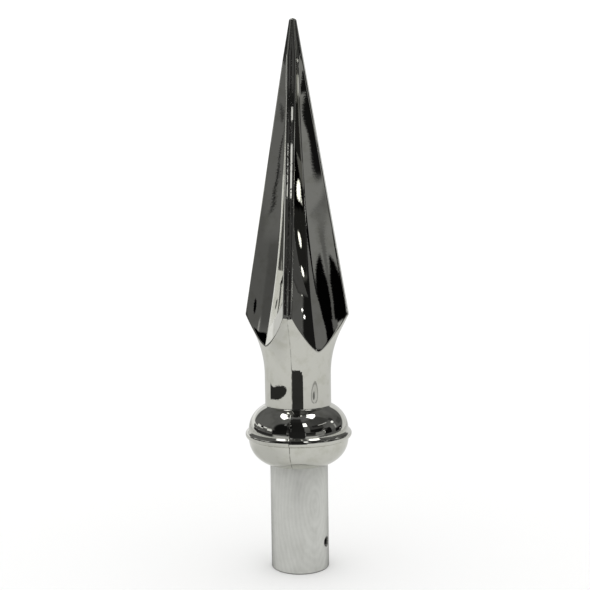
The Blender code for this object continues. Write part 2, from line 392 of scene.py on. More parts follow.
spigot = [
    (0.0, -SPIGOT_LENGTH),
    (SPIGOT_RADIUS - SPIGOT_LEAD_IN, -SPIGOT_LENGTH),
    (SPIGOT_RADIUS, SPIGOT_LEAD_IN - SPIGOT_LENGTH),
    (SPIGOT_RADIUS, 0.0),
]
rows = [row_of(np.full(COLUMNS, radius), crease_angle, height) for radius, height in spigot]
for height in turned_rows():
    rows.append(row_of(bun_profile(np.array(height)) + PARTING_PROUD * parting, crease_angle, height))
for heights in rising_rows():
    x, y = star_section(np.maximum(heights, crease))
    angle = np.arctan2(y, x)
    x, y = star_section(heights)
    blended = soft_minimum(np.hypot(x, y), neck_profile(heights), CREASE_SOFTNESS)
    rows.append(row_of(blended + PARTING_PROUD * parting, angle, heights))
x, y = star_section(np.full(COLUMNS, SHOULDER))
for step in range(1, TIP_STEPS + 1):
    rise = math.radians(90.0) * step / TIP_STEPS
    shrink = math.cos(rise) if step < TIP_STEPS else 0.0
    height = SHOULDER + TIP_ROUNDING * math.sin(rise)
    rows.append(row_of(np.hypot(x, y) * shrink, np.arctan2(y, x), height))
knots = np.stack(rows)
print("net of", len(rows), "rows by", COLUMNS, "threads")

# %% [markdown]
# The net itself is a grid primitive with as many faces as the net has meshes. Each of its vertices
# moves to its knot, and merging by distance then joins the two side edges and closes both poles.

# %% The net becomes the spear
MERGE_DISTANCE = 1e-6
SPEAR_SMOOTHING = 40.0


def net_object(name, knots):
    """Drapes a grid primitive over a closed net of knots and merges where its edges meet."""
    row_count, column_count = knots.shape[:2]
    bpy.ops.object.select_all(action="DESELECT")
    bpy.ops.mesh.primitive_grid_add(x_subdivisions=column_count, y_subdivisions=row_count - 1, size=2.0)
    piece = bpy.context.active_object
    piece.name = piece.data.name = name
    flat = np.empty(len(piece.data.vertices) * 3)
    piece.data.vertices.foreach_get("co", flat)
    flat = flat.reshape(-1, 3)
    column = np.rint((flat[:, 0] + 1.0) / 2.0 * column_count).astype(int) % column_count
    row = np.rint((flat[:, 1] + 1.0) / 2.0 * (row_count - 1)).astype(int)
    piece.data.vertices.foreach_set("co", knots[row, column].ravel())
    bpy.ops.object.mode_set(mode="EDIT")
    bpy.ops.mesh.select_all(action="SELECT")
    bpy.ops.mesh.remove_doubles(threshold=MERGE_DISTANCE)
    bpy.ops.object.mode_set(mode="OBJECT")
    return piece


spear = net_object("spear_moulding", knots)
shade_smooth(spear, SPEAR_SMOOTHING)
print("spear:", len(spear.data.polygons), "faces round", enclosed(spear), "cubic mm")

# %% [markdown]
# ## The tube
# The lower end is a piece of thin drawn tube with a satin plating, which slips over the pole. It could
# be a solidified cylinder, but a cylinder whose two ends are inset and bridged gives both walls and
# both rims at once, and its rims can be bevelled.

# %% Tube
TUBE_WALL = 0.75 * MM
TUBE_EDGE = 0.25 * MM
TUBE_SIDES = 192
RIM_STEPS = 3
UPRIGHT = 0.9
TOLERANCE = 0.01 * MM
TUBE_RADIUS = ferrule_high.x
TUBE_LENGTH = ferrule_high.z - ferrule_low.z


def select_faces(piece, chosen):
    """Selects the faces that a test on their normal picks, and nothing else."""
    bpy.ops.object.mode_set(mode="EDIT")
    bpy.ops.mesh.select_mode(type="FACE")
    bpy.ops.mesh.select_all(action="DESELECT")
    bpy.ops.object.mode_set(mode="OBJECT")
    for face in piece.data.polygons:
        face.select = chosen(face.normal)
    bpy.ops.object.mode_set(mode="EDIT")


def select_edges(piece, chosen):
    """Selects the edges that a test on their two ends picks, and nothing else."""
    bpy.ops.object.mode_set(mode="EDIT")
    bpy.ops.mesh.select_mode(type="EDGE")
    bpy.ops.mesh.select_all(action="DESELECT")
    bpy.ops.object.mode_set(mode="OBJECT")
    for edge in piece.data.edges:
        edge.select = chosen(*(piece.data.vertices[end].co for end in edge.vertices))
    bpy.ops.object.mode_set(mode="EDIT")


def is_end(normal):
    """Whether a face closes one of the tube's ends."""
    return abs(normal.z) > UPRIGHT


def on_rim(one, other):
    """Whether an edge runs round one of the tube's rims: both ends as high and as far out."""
    return abs(one.z - other.z) < TOLERANCE and abs(one.xy.length - other.xy.length) < TOLERANCE


bpy.ops.object.select_all(action="DESELECT")
bpy.ops.mesh.primitive_cylinder_add(vertices=TUBE_SIDES, radius=TUBE_RADIUS, depth=TUBE_LENGTH,
                                    location=(0.0, 0.0, ferrule_low.z + TUBE_LENGTH / 2.0))
tube = bpy.context.active_object
tube.name = tube.data.name = "pole_tube"
bpy.ops.object.transform_apply(location=True, rotation=True, scale=True)
select_faces(tube, is_end)
bpy.ops.mesh.inset(thickness=TUBE_WALL)
bpy.ops.mesh.bridge_edge_loops()
select_edges(tube, on_rim)
bpy.ops.mesh.bevel(offset=TUBE_EDGE, segments=RIM_STEPS, affect="EDGES")
bpy.ops.object.mode_set(mode="OBJECT")
print("tube wall and rims:", len(tube.data.polygons), "faces")

# %% [markdown]
# A screw through one small hole keeps the tube on the pole. The hole is drilled with a Boolean, with
# a shallow seat for the screw's head. Rows of faces are first cut in round that height, so that the
# wall has points there that can be pressed in.

# %% Screw hole
HOLE_RADIUS = 1.5 * MM
HOLE_DEPTH = 3.0 * MM
HOLE_HEIGHT = 12.7 * MM
HOLE_AZIMUTH = math.radians(77.0)
SEAT_RADIUS = 2.4 * MM
SEAT_DEPTH = 0.4 * MM
CUTTER_SIDES = 48
CUTTER_CLEARANCE = 3.0 * MM
ROWS_BELOW = 7.2 * MM
ROWS_ABOVE = 7.3 * MM
ROW_GAP = 0.6 * MM

row_height = HOLE_HEIGHT - ROWS_BELOW
bpy.ops.object.mode_set(mode="EDIT")
while row_height < HOLE_HEIGHT + ROWS_ABOVE:
    bpy.ops.mesh.select_all(action="SELECT")
    bpy.ops.mesh.bisect(plane_co=(0.0, 0.0, row_height), plane_no=(0.0, 0.0, 1.0))
    row_height += ROW_GAP
bpy.ops.object.mode_set(mode="OBJECT")

outward = Vector((math.sin(HOLE_AZIMUTH), -math.cos(HOLE_AZIMUTH), 0.0))
hole_place = outward * TUBE_RADIUS + Vector((0.0, 0.0, HOLE_HEIGHT))
to_hole = outward.to_track_quat("Z", "Y").to_euler()


def drill(radius, depth_in, name):
    """A turned cutter that reaches the given depth into the wall, with its axis through the hole."""
    height = depth_in + CUTTER_CLEARANCE
    middle = hole_place + outward * (height / 2.0 - depth_in)
    bpy.ops.object.select_all(action="DESELECT")
    bpy.ops.mesh.primitive_cylinder_add(vertices=CUTTER_SIDES, radius=radius, depth=height,
                                        location=middle, rotation=to_hole)
    cutter = bpy.context.active_object
    cutter.name = name
    select_only(tube)
    boolean = tube.modifiers.new(name, "BOOLEAN")
    boolean.operation = "DIFFERENCE"
    boolean.solver = "EXACT"
    boolean.object = cutter
    bpy.ops.object.modifier_apply(modifier=boolean.name)
    bpy.data.objects.remove(cutter)


drill(SEAT_RADIUS, SEAT_DEPTH, "seat_cutter")
drill(HOLE_RADIUS, HOLE_DEPTH, "hole_cutter")
print("hole at", [round(value / MM, 2) for value in hole_place], "mm,", len(tube.data.polygons), "faces")

# %% [markdown]
# The drill and the screw have left the thin wall pressed in round the hole, with a low ring of raised
# metal round the seat. Both are made by moving the wall's points along the hole's axis.

# %% Dent and burr round the hole
DENT_REACH = 4.5 * MM
DENT_DEPTH = 0.35 * MM
BURR_HEIGHT = 0.12 * MM
BURR_RADIUS = 2.9 * MM
BURR_WIDTH = 0.45 * MM
TUBE_SMOOTHING = 35.0

for vertex in tube.data.vertices:
    offset = vertex.co - hole_place
    sideways = offset - outward * offset.dot(outward)
    if offset.length < 2.0 * DENT_REACH:
        share = min(sideways.length / DENT_REACH, 1.0)
        burr = BURR_HEIGHT * math.exp(-((sideways.length - BURR_RADIUS) / BURR_WIDTH) ** 2)
        vertex.co += outward * (burr - DENT_DEPTH * (1.0 - share ** 2) ** 2)
shade_smooth(tube, TUBE_SMOOTHING)
print("tube:", enclosed(tube), "cubic mm")

# %% [markdown]
# ## Shader maths in Python
# A wire stands for one socket. Python's own arithmetic on wires adds Math nodes, and every other
# node comes from one method that sets the node's choices first and its sockets after them.

# %% Wires and the bench that makes nodes
class Wire:
    """One output of a node, with arithmetic."""

    def __init__(self, bench, socket):
        self.bench = bench
        self.socket = socket

    def math(self, operation, *operands):
        """A Math node of the given operation on these operands."""
        return self.bench.node("ShaderNodeMath", {"operation": operation}, dict(enumerate(operands)))

    def __add__(self, other):
        return self.math("ADD", self, other)

    def __sub__(self, other):
        return self.math("SUBTRACT", self, other)

    def __rsub__(self, other):
        return self.math("SUBTRACT", other, self)

    def __mul__(self, other):
        return self.math("MULTIPLY", self, other)

    __radd__ = __add__
    __rmul__ = __mul__

    def absolute(self):
        return self.math("ABSOLUTE", self)

    def larger(self, other):
        return self.math("MAXIMUM", self, other)

    def degrees(self):
        return self.math("DEGREES", self)

    def blended(self, other, share):
        """This value where the share is 0, the other where it is 1."""
        return self.bench.node("ShaderNodeMix", None, {0: share, 2: self, 3: other})


class Bench:
    """Makes the nodes of one material or world."""

    def __init__(self, owner):
        owner.use_nodes = True
        self.owner = owner
        self.tree = owner.node_tree
        self.tree.nodes.clear()

    def node(self, kind, settings=None, sockets=None, output=0):
        """Adds a node, sets its choices, then fills its sockets with values or wires."""
        node = self.tree.nodes.new(kind)
        for name, value in (settings or {}).items():
            setattr(node, name, value)
        for key, value in (sockets or {}).items():
            if isinstance(value, Wire):
                self.tree.links.new(value.socket, node.inputs[key])
            else:
                node.inputs[key].default_value = value
        return Wire(self, node.outputs[output]) if node.outputs else node

    def smooth_step(self, value, start, end, low=0.0, high=1.0):
        """A smooth rise from low to high as the value passes from start to end."""
        return self.node("ShaderNodeMapRange", {"interpolation_type": "SMOOTHSTEP"}, {
            "Value": value, "From Min": start, "From Max": end, "To Min": low, "To Max": high,
        })

    def noise(self, scale, detail, where=None, roughness=0.5):
        """A noise on the piece's own coordinates."""
        where = where or self.place()
        return self.node("ShaderNodeTexNoise", None, {
            "Vector": where, "Scale": scale, "Detail": detail, "Roughness": roughness,
        })

    def place(self):
        """The point's place on the piece."""
        return self.node("ShaderNodeTexCoord", output=3)

    def coordinate(self, axis):
        """One coordinate of the point's place."""
        return self.node("ShaderNodeSeparateXYZ", None, {0: self.place()}, output=axis)

    def stretched(self, place, scale):
        """A place with each axis scaled by its own amount."""
        return self.node("ShaderNodeMapping", None, {"Vector": place, "Scale": scale})

    def dyed(self, share, colour, other):
        """One colour where the share is 0, the other where it is 1."""
        return self.node("ShaderNodeMix", {"data_type": "RGBA"}, {0: share, 6: colour, 7: other}, output=2)

    def colour(self, red, green, blue):
        """A colour from three levels."""
        return self.node("ShaderNodeCombineColor", None, {0: red, 1: green, 2: blue})

    def bump(self, height, distance, under=None):
        """A bump whose height is in shares of the distance, over another one if that is given."""
        sockets = {"Height": height, "Distance": distance, "Strength": 1.0}
        if under:
            sockets["Normal"] = under
        return self.node("ShaderNodeBump", None, sockets)

    def finish(self, **sockets):
        """A Principled shader with these sockets, wired to the output."""
        named = {}
        for name, value in sockets.items():
            named[name.replace("_", " ").title().replace("Ior", "IOR")] = value
        shader = self.node("ShaderNodeBsdfPrincipled", None, named)
        self.node("ShaderNodeOutputMaterial", None, {"Surface": shader})
        print("finish", self.owner.name, "has", len(self.tree.nodes), "nodes")


# %% [markdown]
# ## The hollow round the neck
# The neck mirrors a strip of table that bends more than a straight shaft would bend it, so the wheel
# that ground it smooth has hollowed it a little. That is far too shallow to see in the outline, and
# is made by a bump: a parabola up the shaft, which fades out where the neck begins to widen.

# %% The ground hollow
HOLLOW_RADIUS = 120.0 * MM
HOLLOW_FADE = 12.0 * MM
SHAFT_LENGTH = ARC_START - NECK_FOOT


def ground_hollow(bench):
    """Height of the faint hollow that the grinding wheel left round the neck's shaft."""
    height = bench.coordinate(2) - (BUN_FOOT_Z + NECK_FOOT)
    up_shaft = bench.node("ShaderNodeClamp", None, {0: height, 1: 0.0, 2: SHAFT_LENGTH})
    fading = bench.node("ShaderNodeClamp", None, {0: height - SHAFT_LENGTH, 1: 0.0, 2: HOLLOW_FADE})
    faded = fading - fading * fading * (0.5 / HOLLOW_FADE)
    return (up_shaft * up_shaft + faded * (2.0 * SHAFT_LENGTH)) * (0.5 / HOLLOW_RADIUS)


print("hollow of", round(SHAFT_LENGTH / MM, 2), "mm up the shaft")

# %% [markdown]
# ## Bright chrome
# Bright plating is a mirror with a cast shape under it. The metal itself gives no pattern of colour:
# what marks it as a polished casting is that its reflections swim a little, that there is a haze of
# fine pits, and that dust and handling stain it here and there. The parting line is a dark broken
# thread on the bun and is fainter up the neck and the blade, with a few specks of metal beside it.

# %% Bright chrome
CHROME_COLOUR = (0.68, 0.68, 0.63, 1.0)
STAIN_COLOUR = (0.56, 0.56, 0.49, 1.0)
SEAM_COLOUR = (0.12, 0.12, 0.10, 1.0)
SWIM_HEIGHT = 0.04 * MM
PIT_HEIGHT = 0.002 * MM
SPECK_HEIGHT = 0.03 * MM
SEAM_EDGES = (0.30 * MM, 0.08 * MM)
SPECK_EDGES = (2.2 * MM, 0.4 * MM)
SPECKS_START = (114.0 * MM, 120.0 * MM)
SEAM_FADES = (92.0 * MM, 100.0 * MM)
SEAM_SHARES = (0.75, 0.35)
CHROME_ROUGHNESS = 0.012
GRIME_ROUGHNESS = 0.03
SEAM_ROUGHNESS = 0.25


def bright_chrome():
    """The spear's plating."""
    material = bpy.data.materials.new("bright_chrome")
    bench = Bench(material)
    from_seam = bench.coordinate(0).absolute()
    upward = bench.coordinate(2)
    grime = bench.smooth_step(bench.noise(90.0, 5.0, roughness=0.65), 0.52, 0.78)
    stains = bench.smooth_step(bench.noise(210.0, 4.0, roughness=0.6), 0.46, 0.70, 0.0, 0.55)
    broken = bench.smooth_step(bench.noise(380.0, 3.0), 0.30, 0.55)
    seam = bench.smooth_step(from_seam, *SEAM_EDGES) * broken
    beside_seam = bench.smooth_step(from_seam, *SPECK_EDGES)
    above_neck = bench.smooth_step(upward, *SPECKS_START)
    specks = bench.smooth_step(bench.noise(900.0, 1.0), 0.64, 0.70) * beside_seam * above_neck
    hollow = bench.bump(ground_hollow(bench), 1.0)
    wavy = bench.bump(bench.noise(40.0, 1.0), SWIM_HEIGHT, under=hollow)
    pitted = bench.bump(bench.noise(1400.0, 2.0), PIT_HEIGHT, under=wavy)
    speckled = bench.bump(specks, SPECK_HEIGHT, under=pitted)
    stained = bench.dyed(stains, CHROME_COLOUR, STAIN_COLOUR)
    seam_tone = seam * bench.smooth_step(upward, *SEAM_FADES, *SEAM_SHARES)
    colour = bench.dyed(seam_tone, stained, SEAM_COLOUR)
    dullness = grime * GRIME_ROUGHNESS + seam * SEAM_ROUGHNESS + CHROME_ROUGHNESS
    bench.finish(base_color=colour, metallic=1.0, roughness=dullness, normal=speckled)
    return material


hand_over(spear, "spear", bright_chrome())

# %% [markdown]
# ## Satin plating
# The tube's plating is softer and paler. It spreads light so widely that the room is only a change
# of tone on it, and rubbing has left faint swirls. Its sides carry painted shade that grows as the
# surface turns from the lens, most of all low down. A painted shadow line runs along the lower rim,
# and the colour is darker round the hole and in it.

# %% Satin plating
SATIN_COLOUR = (0.60, 0.605, 0.575, 1.0)
RUBBED_COLOUR = (0.46, 0.465, 0.435, 1.0)
# colour of the painted shade on the sides and rim, and of the darker colour round the hole
PAINTED_SHADE_AND_HOLE_COLOUR = (0.05, 0.05, 0.045, 1.0)
RUBBED_MIDDLE = (9.0 * MM, -10.1 * MM, 31.0 * MM)
RING_STRETCH = (1.0, 1.0, 0.36)
STREAK_STRETCH = (1.0, 1.0, 0.16)
RING_SHARE = 0.22
RING_HEIGHT = 0.010 * MM
GRAIN_HEIGHT = 0.004 * MM
# the colour is darker round the hole and in it, with a ragged edge
HOLE_DARK_EDGES = (3.4 * MM, 2.5 * MM)
HOLE_DARK_RAGGEDNESS = 0.9 * MM
# painted shadow line along the tube's lower rim
PAINTED_RIM_SHADOW_EDGES = (0.60 * MM, 0.20 * MM)
PAINTED_RIM_SHADOW_SHARE = 0.85
# painted shade: the tube's sides are darkened where they turn from the lens, most of all low down
PAINTED_EDGE_SHADE = (0.42, 1.0)
PAINTED_EDGE_SHADE_SHARE = 0.78
PAINTED_LOW_SHADE = (42.0 * MM, 4.0 * MM)
PAINTED_LOW_SHADE_SHARES = (0.45, 1.0)
SATIN_METAL = 0.35
SATIN_ROUGHNESS = 0.30
CLOUD_ROUGHNESS = 0.12


def satin_plating():
    """The tube's plating."""
    material = bpy.data.materials.new("satin_plating")
    bench = Bench(material)
    place = bench.place()
    upward = bench.coordinate(2)
    cloud = bench.noise(120.0, 4.0, roughness=0.6)
    from_middle = bench.node("ShaderNodeVectorMath", {"operation": "SUBTRACT"},
                             {0: place, 1: RUBBED_MIDDLE})
    rings = bench.node("ShaderNodeTexWave", {"wave_type": "RINGS", "rings_direction": "SPHERICAL"}, {
        "Vector": bench.stretched(from_middle, RING_STRETCH), "Scale": 190.0, "Distortion": 6.0,
        "Detail": 3.0, "Detail Scale": 0.8, "Detail Roughness": 0.6,
    }, output=1)
    streaks = bench.noise(900.0, 3.0, where=bench.stretched(place, STREAK_STRETCH))
    clouded = bench.smooth_step(cloud, 0.35, 0.70, 0.0, 0.36)
    streaked = bench.smooth_step(streaks, 0.4, 0.7, 0.0, 0.14)
    # darker colour round the hole and in it, with a ragged edge
    hole_gap = bench.node("ShaderNodeVectorMath", {"operation": "DISTANCE"},
                          {0: place, 1: hole_place}, output=1)
    ragged = bench.noise(1300.0, 3.0) * HOLE_DARK_RAGGEDNESS + hole_gap
    hole_darkening = bench.smooth_step(ragged, *HOLE_DARK_EDGES)
    # painted shadow: a thin dark line along the lower rim
    painted_rim_shadow = bench.smooth_step(upward, *PAINTED_RIM_SHADOW_EDGES, 0.0, PAINTED_RIM_SHADOW_SHARE)
    # painted shade on the sides, growing as the surface turns from the lens and towards the foot
    facing = bench.node("ShaderNodeLayerWeight", None, {0: 0.5}, output=1)
    painted_low_shade = bench.smooth_step(upward, *PAINTED_LOW_SHADE, *PAINTED_LOW_SHADE_SHARES)
    painted_edge_shade = bench.smooth_step(facing, *PAINTED_EDGE_SHADE, 0.0, PAINTED_EDGE_SHADE_SHARE) * painted_low_shade
    toned = bench.dyed(rings * RING_SHARE + clouded + streaked, SATIN_COLOUR, RUBBED_COLOUR)
    # painted shade, the painted rim shadow and the darker colour round the hole, laid over the tones
    painted_shade_and_hole = bench.dyed(painted_edge_shade.larger(hole_darkening).larger(painted_rim_shadow), toned, PAINTED_SHADE_AND_HOLE_COLOUR)
    rubbed = bench.bump(rings, RING_HEIGHT)
    fine = bench.bump(bench.noise(3000.0, 2.0), GRAIN_HEIGHT, under=rubbed)
    dullness = cloud * CLOUD_ROUGHNESS + SATIN_ROUGHNESS
    bench.finish(base_color=painted_shade_and_hole, metallic=SATIN_METAL, roughness=dullness, normal=fine)
    return material


hand_over(tube, "ferrule", satin_plating())

# %% [markdown]
# ## Patches on a chart
# A mirror needs something to mirror, and here that is painted on charts: the table round the finial,
# two clear round screens, and the room behind them. The first axis of every chart is the bearing in
# degrees to the right of the lens. A patch has a middle and a half size on each axis, a slope, a level
# of light and a soft edge, and each new patch lies over the ones before it.

# %% Patches
BOX, OVAL = "MAXIMUM", "ADD"


def bearing(bench, direction):
    """Degrees to the right of the lens, seen from the finial."""
    rightward = (math.cos(CAMERA_AZIMUTH), math.sin(CAMERA_AZIMUTH), 0.0)
    dot = {"operation": "DOT_PRODUCT"}
    sideways = bench.node("ShaderNodeVectorMath", dot, {0: direction, 1: rightward}, output=1)
    frontways = bench.node("ShaderNodeVectorMath", dot, {0: direction, 1: away}, output=1)
    return sideways.math("ARCTAN2", sideways, frontways).degrees()


def lay_patches(bench, level, across, up, patches):
    """Lays the patches over a level of light, one after another."""
    for shape, middle, half_width, height, half_height, slope, brightness, soft in patches:
        aside = across - middle
        share = aside * (1.0 / half_width)
        lift = (up - aside * slope - height if slope else up - height) * (1.0 / half_height)
        reach = share.math(shape, share * share, lift * lift)
        level = level.blended(brightness, bench.smooth_step(reach, 1.0 + soft, 1.0 - soft))
    return level


# %% [markdown]
# ## Floor
# The finial stands on a plain white round table. The neck and the bun's lower half mirror that table,
# so it carries a sheet that only mirrors see, painted with the reflections the chrome should show:
# painted light that falls off away from the finial, the finial's painted soft shadow, and dark patches
# that put dark shapes into the chrome.

# %% Floor and the sheet that mirrors see
TABLE_RADIUS = 1.15
TABLE_SIDES = 128
SHEET_HEIGHT = 0.2 * MM
FLOOR_COLOUR = (0.93, 0.93, 0.925, 1.0)
FLOOR_ROUGHNESS = 0.9
SHEET_BLUE_SHARE = 0.985
# painted light on the sheet: it falls off with distance from the finial
PAINTED_LIGHT_FALLOFF = (0.10, 0.75)
PAINTED_LIGHT_LEVELS = (0.69, 0.50)
PAINTED_TABLE_PATCHES = [
    # shape, bearing, half width, distance in m, half distance, slope, level, soft edge
    # the finial's painted soft shadows first, then dark patches for the dark shapes in the chrome
    (OVAL, -95.0, 60.0, 0.10, 0.10, 0.0, 0.58, 0.80),
    (OVAL, 130.0, 40.0, 0.09, 0.07, 0.0, 0.66, 0.80),
    (BOX, -7.0, 16.0, 0.6735, 0.4775, 0.0, 0.030, 0.006),
    (BOX, 11.5, 3.2, 0.6760, 0.4740, 0.0, 0.030, 0.006),
    (BOX, 15.5, 1.9, 0.6850, 0.4700, 0.0, 0.030, 0.006),
    (BOX, -84.0, 27.0, 0.3218, 0.0215, -0.0010, 0.026, 0.08),
    (OVAL, -72.0, 33.0, 0.3104, 0.0275, -0.0010, 0.026, 0.08),
    (OVAL, 58.5, 14.0, 0.311, 0.050, 0.0, 0.33, 0.12),
    (OVAL, 58.5, 11.0, 0.311, 0.040, 0.0, 0.56, 0.15),
    (OVAL, 55.0, 4.0, 0.312, 0.019, 0.0, 0.17, 0.50),
]


def round_top(name, height, material):
    """A round flat sheet at a height, as part of the stage."""
    bpy.ops.object.select_all(action="DESELECT")
    bpy.ops.mesh.primitive_circle_add(vertices=TABLE_SIDES, radius=TABLE_RADIUS, fill_type="NGON",
                                      location=(0.0, 0.0, height))
    top = bpy.context.active_object
    top.name = name
    top.data.materials.append(material)
    return top


def white_floor():
    """A matt white table top."""
    material = bpy.data.materials.new("white_floor")
    Bench(material).finish(base_color=FLOOR_COLOUR, roughness=FLOOR_ROUGHNESS, specular_ior_level=0.0)
    return material


def painted_reflection_table():
    """The painted reflection of the table, with painted light falloff and painted shadow, as the chrome
    shows it.
    """
    material = bpy.data.materials.new("painted_reflection_table")
    bench = Bench(material)
    place = bench.place()
    distance = bench.node("ShaderNodeVectorMath", {"operation": "LENGTH"}, {0: place}, output=1)
    # painted light that falls off away from the finial, then painted shadows and dark reflections
    level = bench.smooth_step(distance, *PAINTED_LIGHT_FALLOFF, *PAINTED_LIGHT_LEVELS)
    level = lay_patches(bench, level, bearing(bench, place), distance, PAINTED_TABLE_PATCHES)
    colour = bench.colour(level, level, level * SHEET_BLUE_SHARE)
    bench.finish(base_color=colour, roughness=FLOOR_ROUGHNESS, specular_ior_level=0.0)
    return material


def mirrors_only(piece):
    """Hides a piece of the stage from the lens and from matt surfaces."""
    piece.visible_camera = False
    piece.visible_diffuse = False
    piece.visible_shadow = False


round_top("floor", 0.0, white_floor())
mirrors_only(round_top("floor_sheet", SHEET_HEIGHT, painted_reflection_table()))
print("table", 2.0 * TABLE_RADIUS, "m across, with", len(PAINTED_TABLE_PATCHES), "patches on its sheet")

# %% [markdown]
# ## Low screens
# The bun and the blade look in the same directions from different heights. What only one of them
# should see stands close, on a low round screen that is clear wherever it carries nothing: its chart
# has the height in millimetres as its second axis. Three pale patches on a second screen, farther
# off, brighten one side of the blade.

# %% Low screens
SCREEN_PATCHES = [
    # shape, bearing, half width, height in mm, half height, slope, level, soft edge
    (BOX, -90.0, 31.0, 73.0, 12.0, 0.0, 0.030, 0.15),
    (BOX, -105.0, 20.0, 101.0, 15.0, 0.0, 0.12, 0.15),
    (BOX, -97.0, 9.0, 120.0, 7.0, 0.0, 0.12, 0.15),
    (BOX, -94.0, 4.5, 150.0, 13.0, 0.0, 0.0, 0.10),
    (BOX, -44.0, 17.0, 127.0, 33.0, 0.45, 0.010, 0.10),
    (BOX, -2.0, 16.0, 110.0, 50.0, 0.0, 0.016, 0.10),
    (BOX, 26.0, 10.0, 101.0, 17.0, 0.0, 0.030, 0.10),
    (BOX, 31.0, 16.0, 127.0, 9.0, 0.0, 0.008, 0.10),
    (BOX, 49.0, 11.0, 106.0, 22.0, 0.0, 0.22, 0.12),
    (BOX, 71.0, 9.0, 115.0, 36.0, 0.0, 0.006, 0.12),
    (BOX, 86.0, 6.0, 100.0, 22.0, 0.0, 0.10, 0.20),
    (BOX, 98.0, 7.0, 84.0, 14.0, 0.0, 0.008, 0.15),
    (BOX, 61.0, 8.0, 150.0, 9.0, 0.0, 0.05, 0.15),
    (BOX, 118.0, 10.0, 172.0, 32.0, 0.0, 0.075, 0.20),
    (BOX, 49.0, 14.0, 273.0, 26.0, 0.0, 0.022, 0.15),
    (BOX, 66.0, 14.0, 285.0, 7.0, 0.0, 0.80, 0.20),
    (BOX, -17.6, 1.9, 310.0, 46.0, 0.0, 0.008, 0.30),
    (BOX, -20.6, 1.2, 299.0, 22.0, 0.0, 0.90, 0.15),
    (BOX, -20.6, 1.2, 346.0, 6.0, 0.0, 0.80, 0.30),
]
CARD_PATCHES = [
    # the same columns, for the screen farther off
    (BOX, -73.5, 7.0, 276.0, 18.0, 0.6, 0.45, 0.10),
    (BOX, -86.5, 6.5, 267.0, 18.0, 0.6, 0.95, 0.10),
    (BOX, -102.0, 10.5, 232.0, 34.0, 0.0, 0.95, 0.10),
]
SCREEN_TOP = 0.36
SCREEN_SIDES = 180
LOW_SCREEN_RADIUS = 0.30
SIDE_CARD_RADIUS = 0.65
COVERING = (1.0, 0.01)


def clear_screen(name, radius, patches):
    """A round screen on the stage that only mirrors see, clear outside its patches."""
    material = bpy.data.materials.new(name)
    bench = Bench(material)
    across = bearing(bench, bench.place())
    up = bench.coordinate(2) * (1.0 / MM)
    nothing = up * 0.0
    level = lay_patches(bench, nothing, across, up, patches)
    cover = lay_patches(bench, nothing, across, up, [patch[:6] + COVERING for patch in patches])
    bench.finish(base_color=(0.0, 0.0, 0.0, 1.0), roughness=1.0, specular_ior_level=0.0,
                 emission_color=bench.colour(level, level, level), emission_strength=1.0, alpha=cover)
    bpy.ops.object.select_all(action="DESELECT")
    bpy.ops.mesh.primitive_cylinder_add(vertices=SCREEN_SIDES, radius=radius, depth=SCREEN_TOP,
                                        end_fill_type="NOTHING")
    screen = bpy.context.active_object
    screen.name = name
    for vertex in screen.data.vertices:
        vertex.co.z += SCREEN_TOP / 2.0
    screen.data.materials.append(material)
    mirrors_only(screen)
    print(name, "with", len(patches), "patches at", radius, "m")


clear_screen("low_screen", LOW_SCREEN_RADIUS, SCREEN_PATCHES)
clear_screen("side_card", SIDE_CARD_RADIUS, CARD_PATCHES)

# %% [markdown]
# ## Studio
# The lens and every matt surface see one even soft white light, and bright metal sees a studio: a
# white sweep behind, a dim room in front with black screens, and soft panels of light. The room's
# second axis is the height above the horizon in degrees. The sweep comes forward at the left, with a
# few faint marks of its own, and those are laid last.

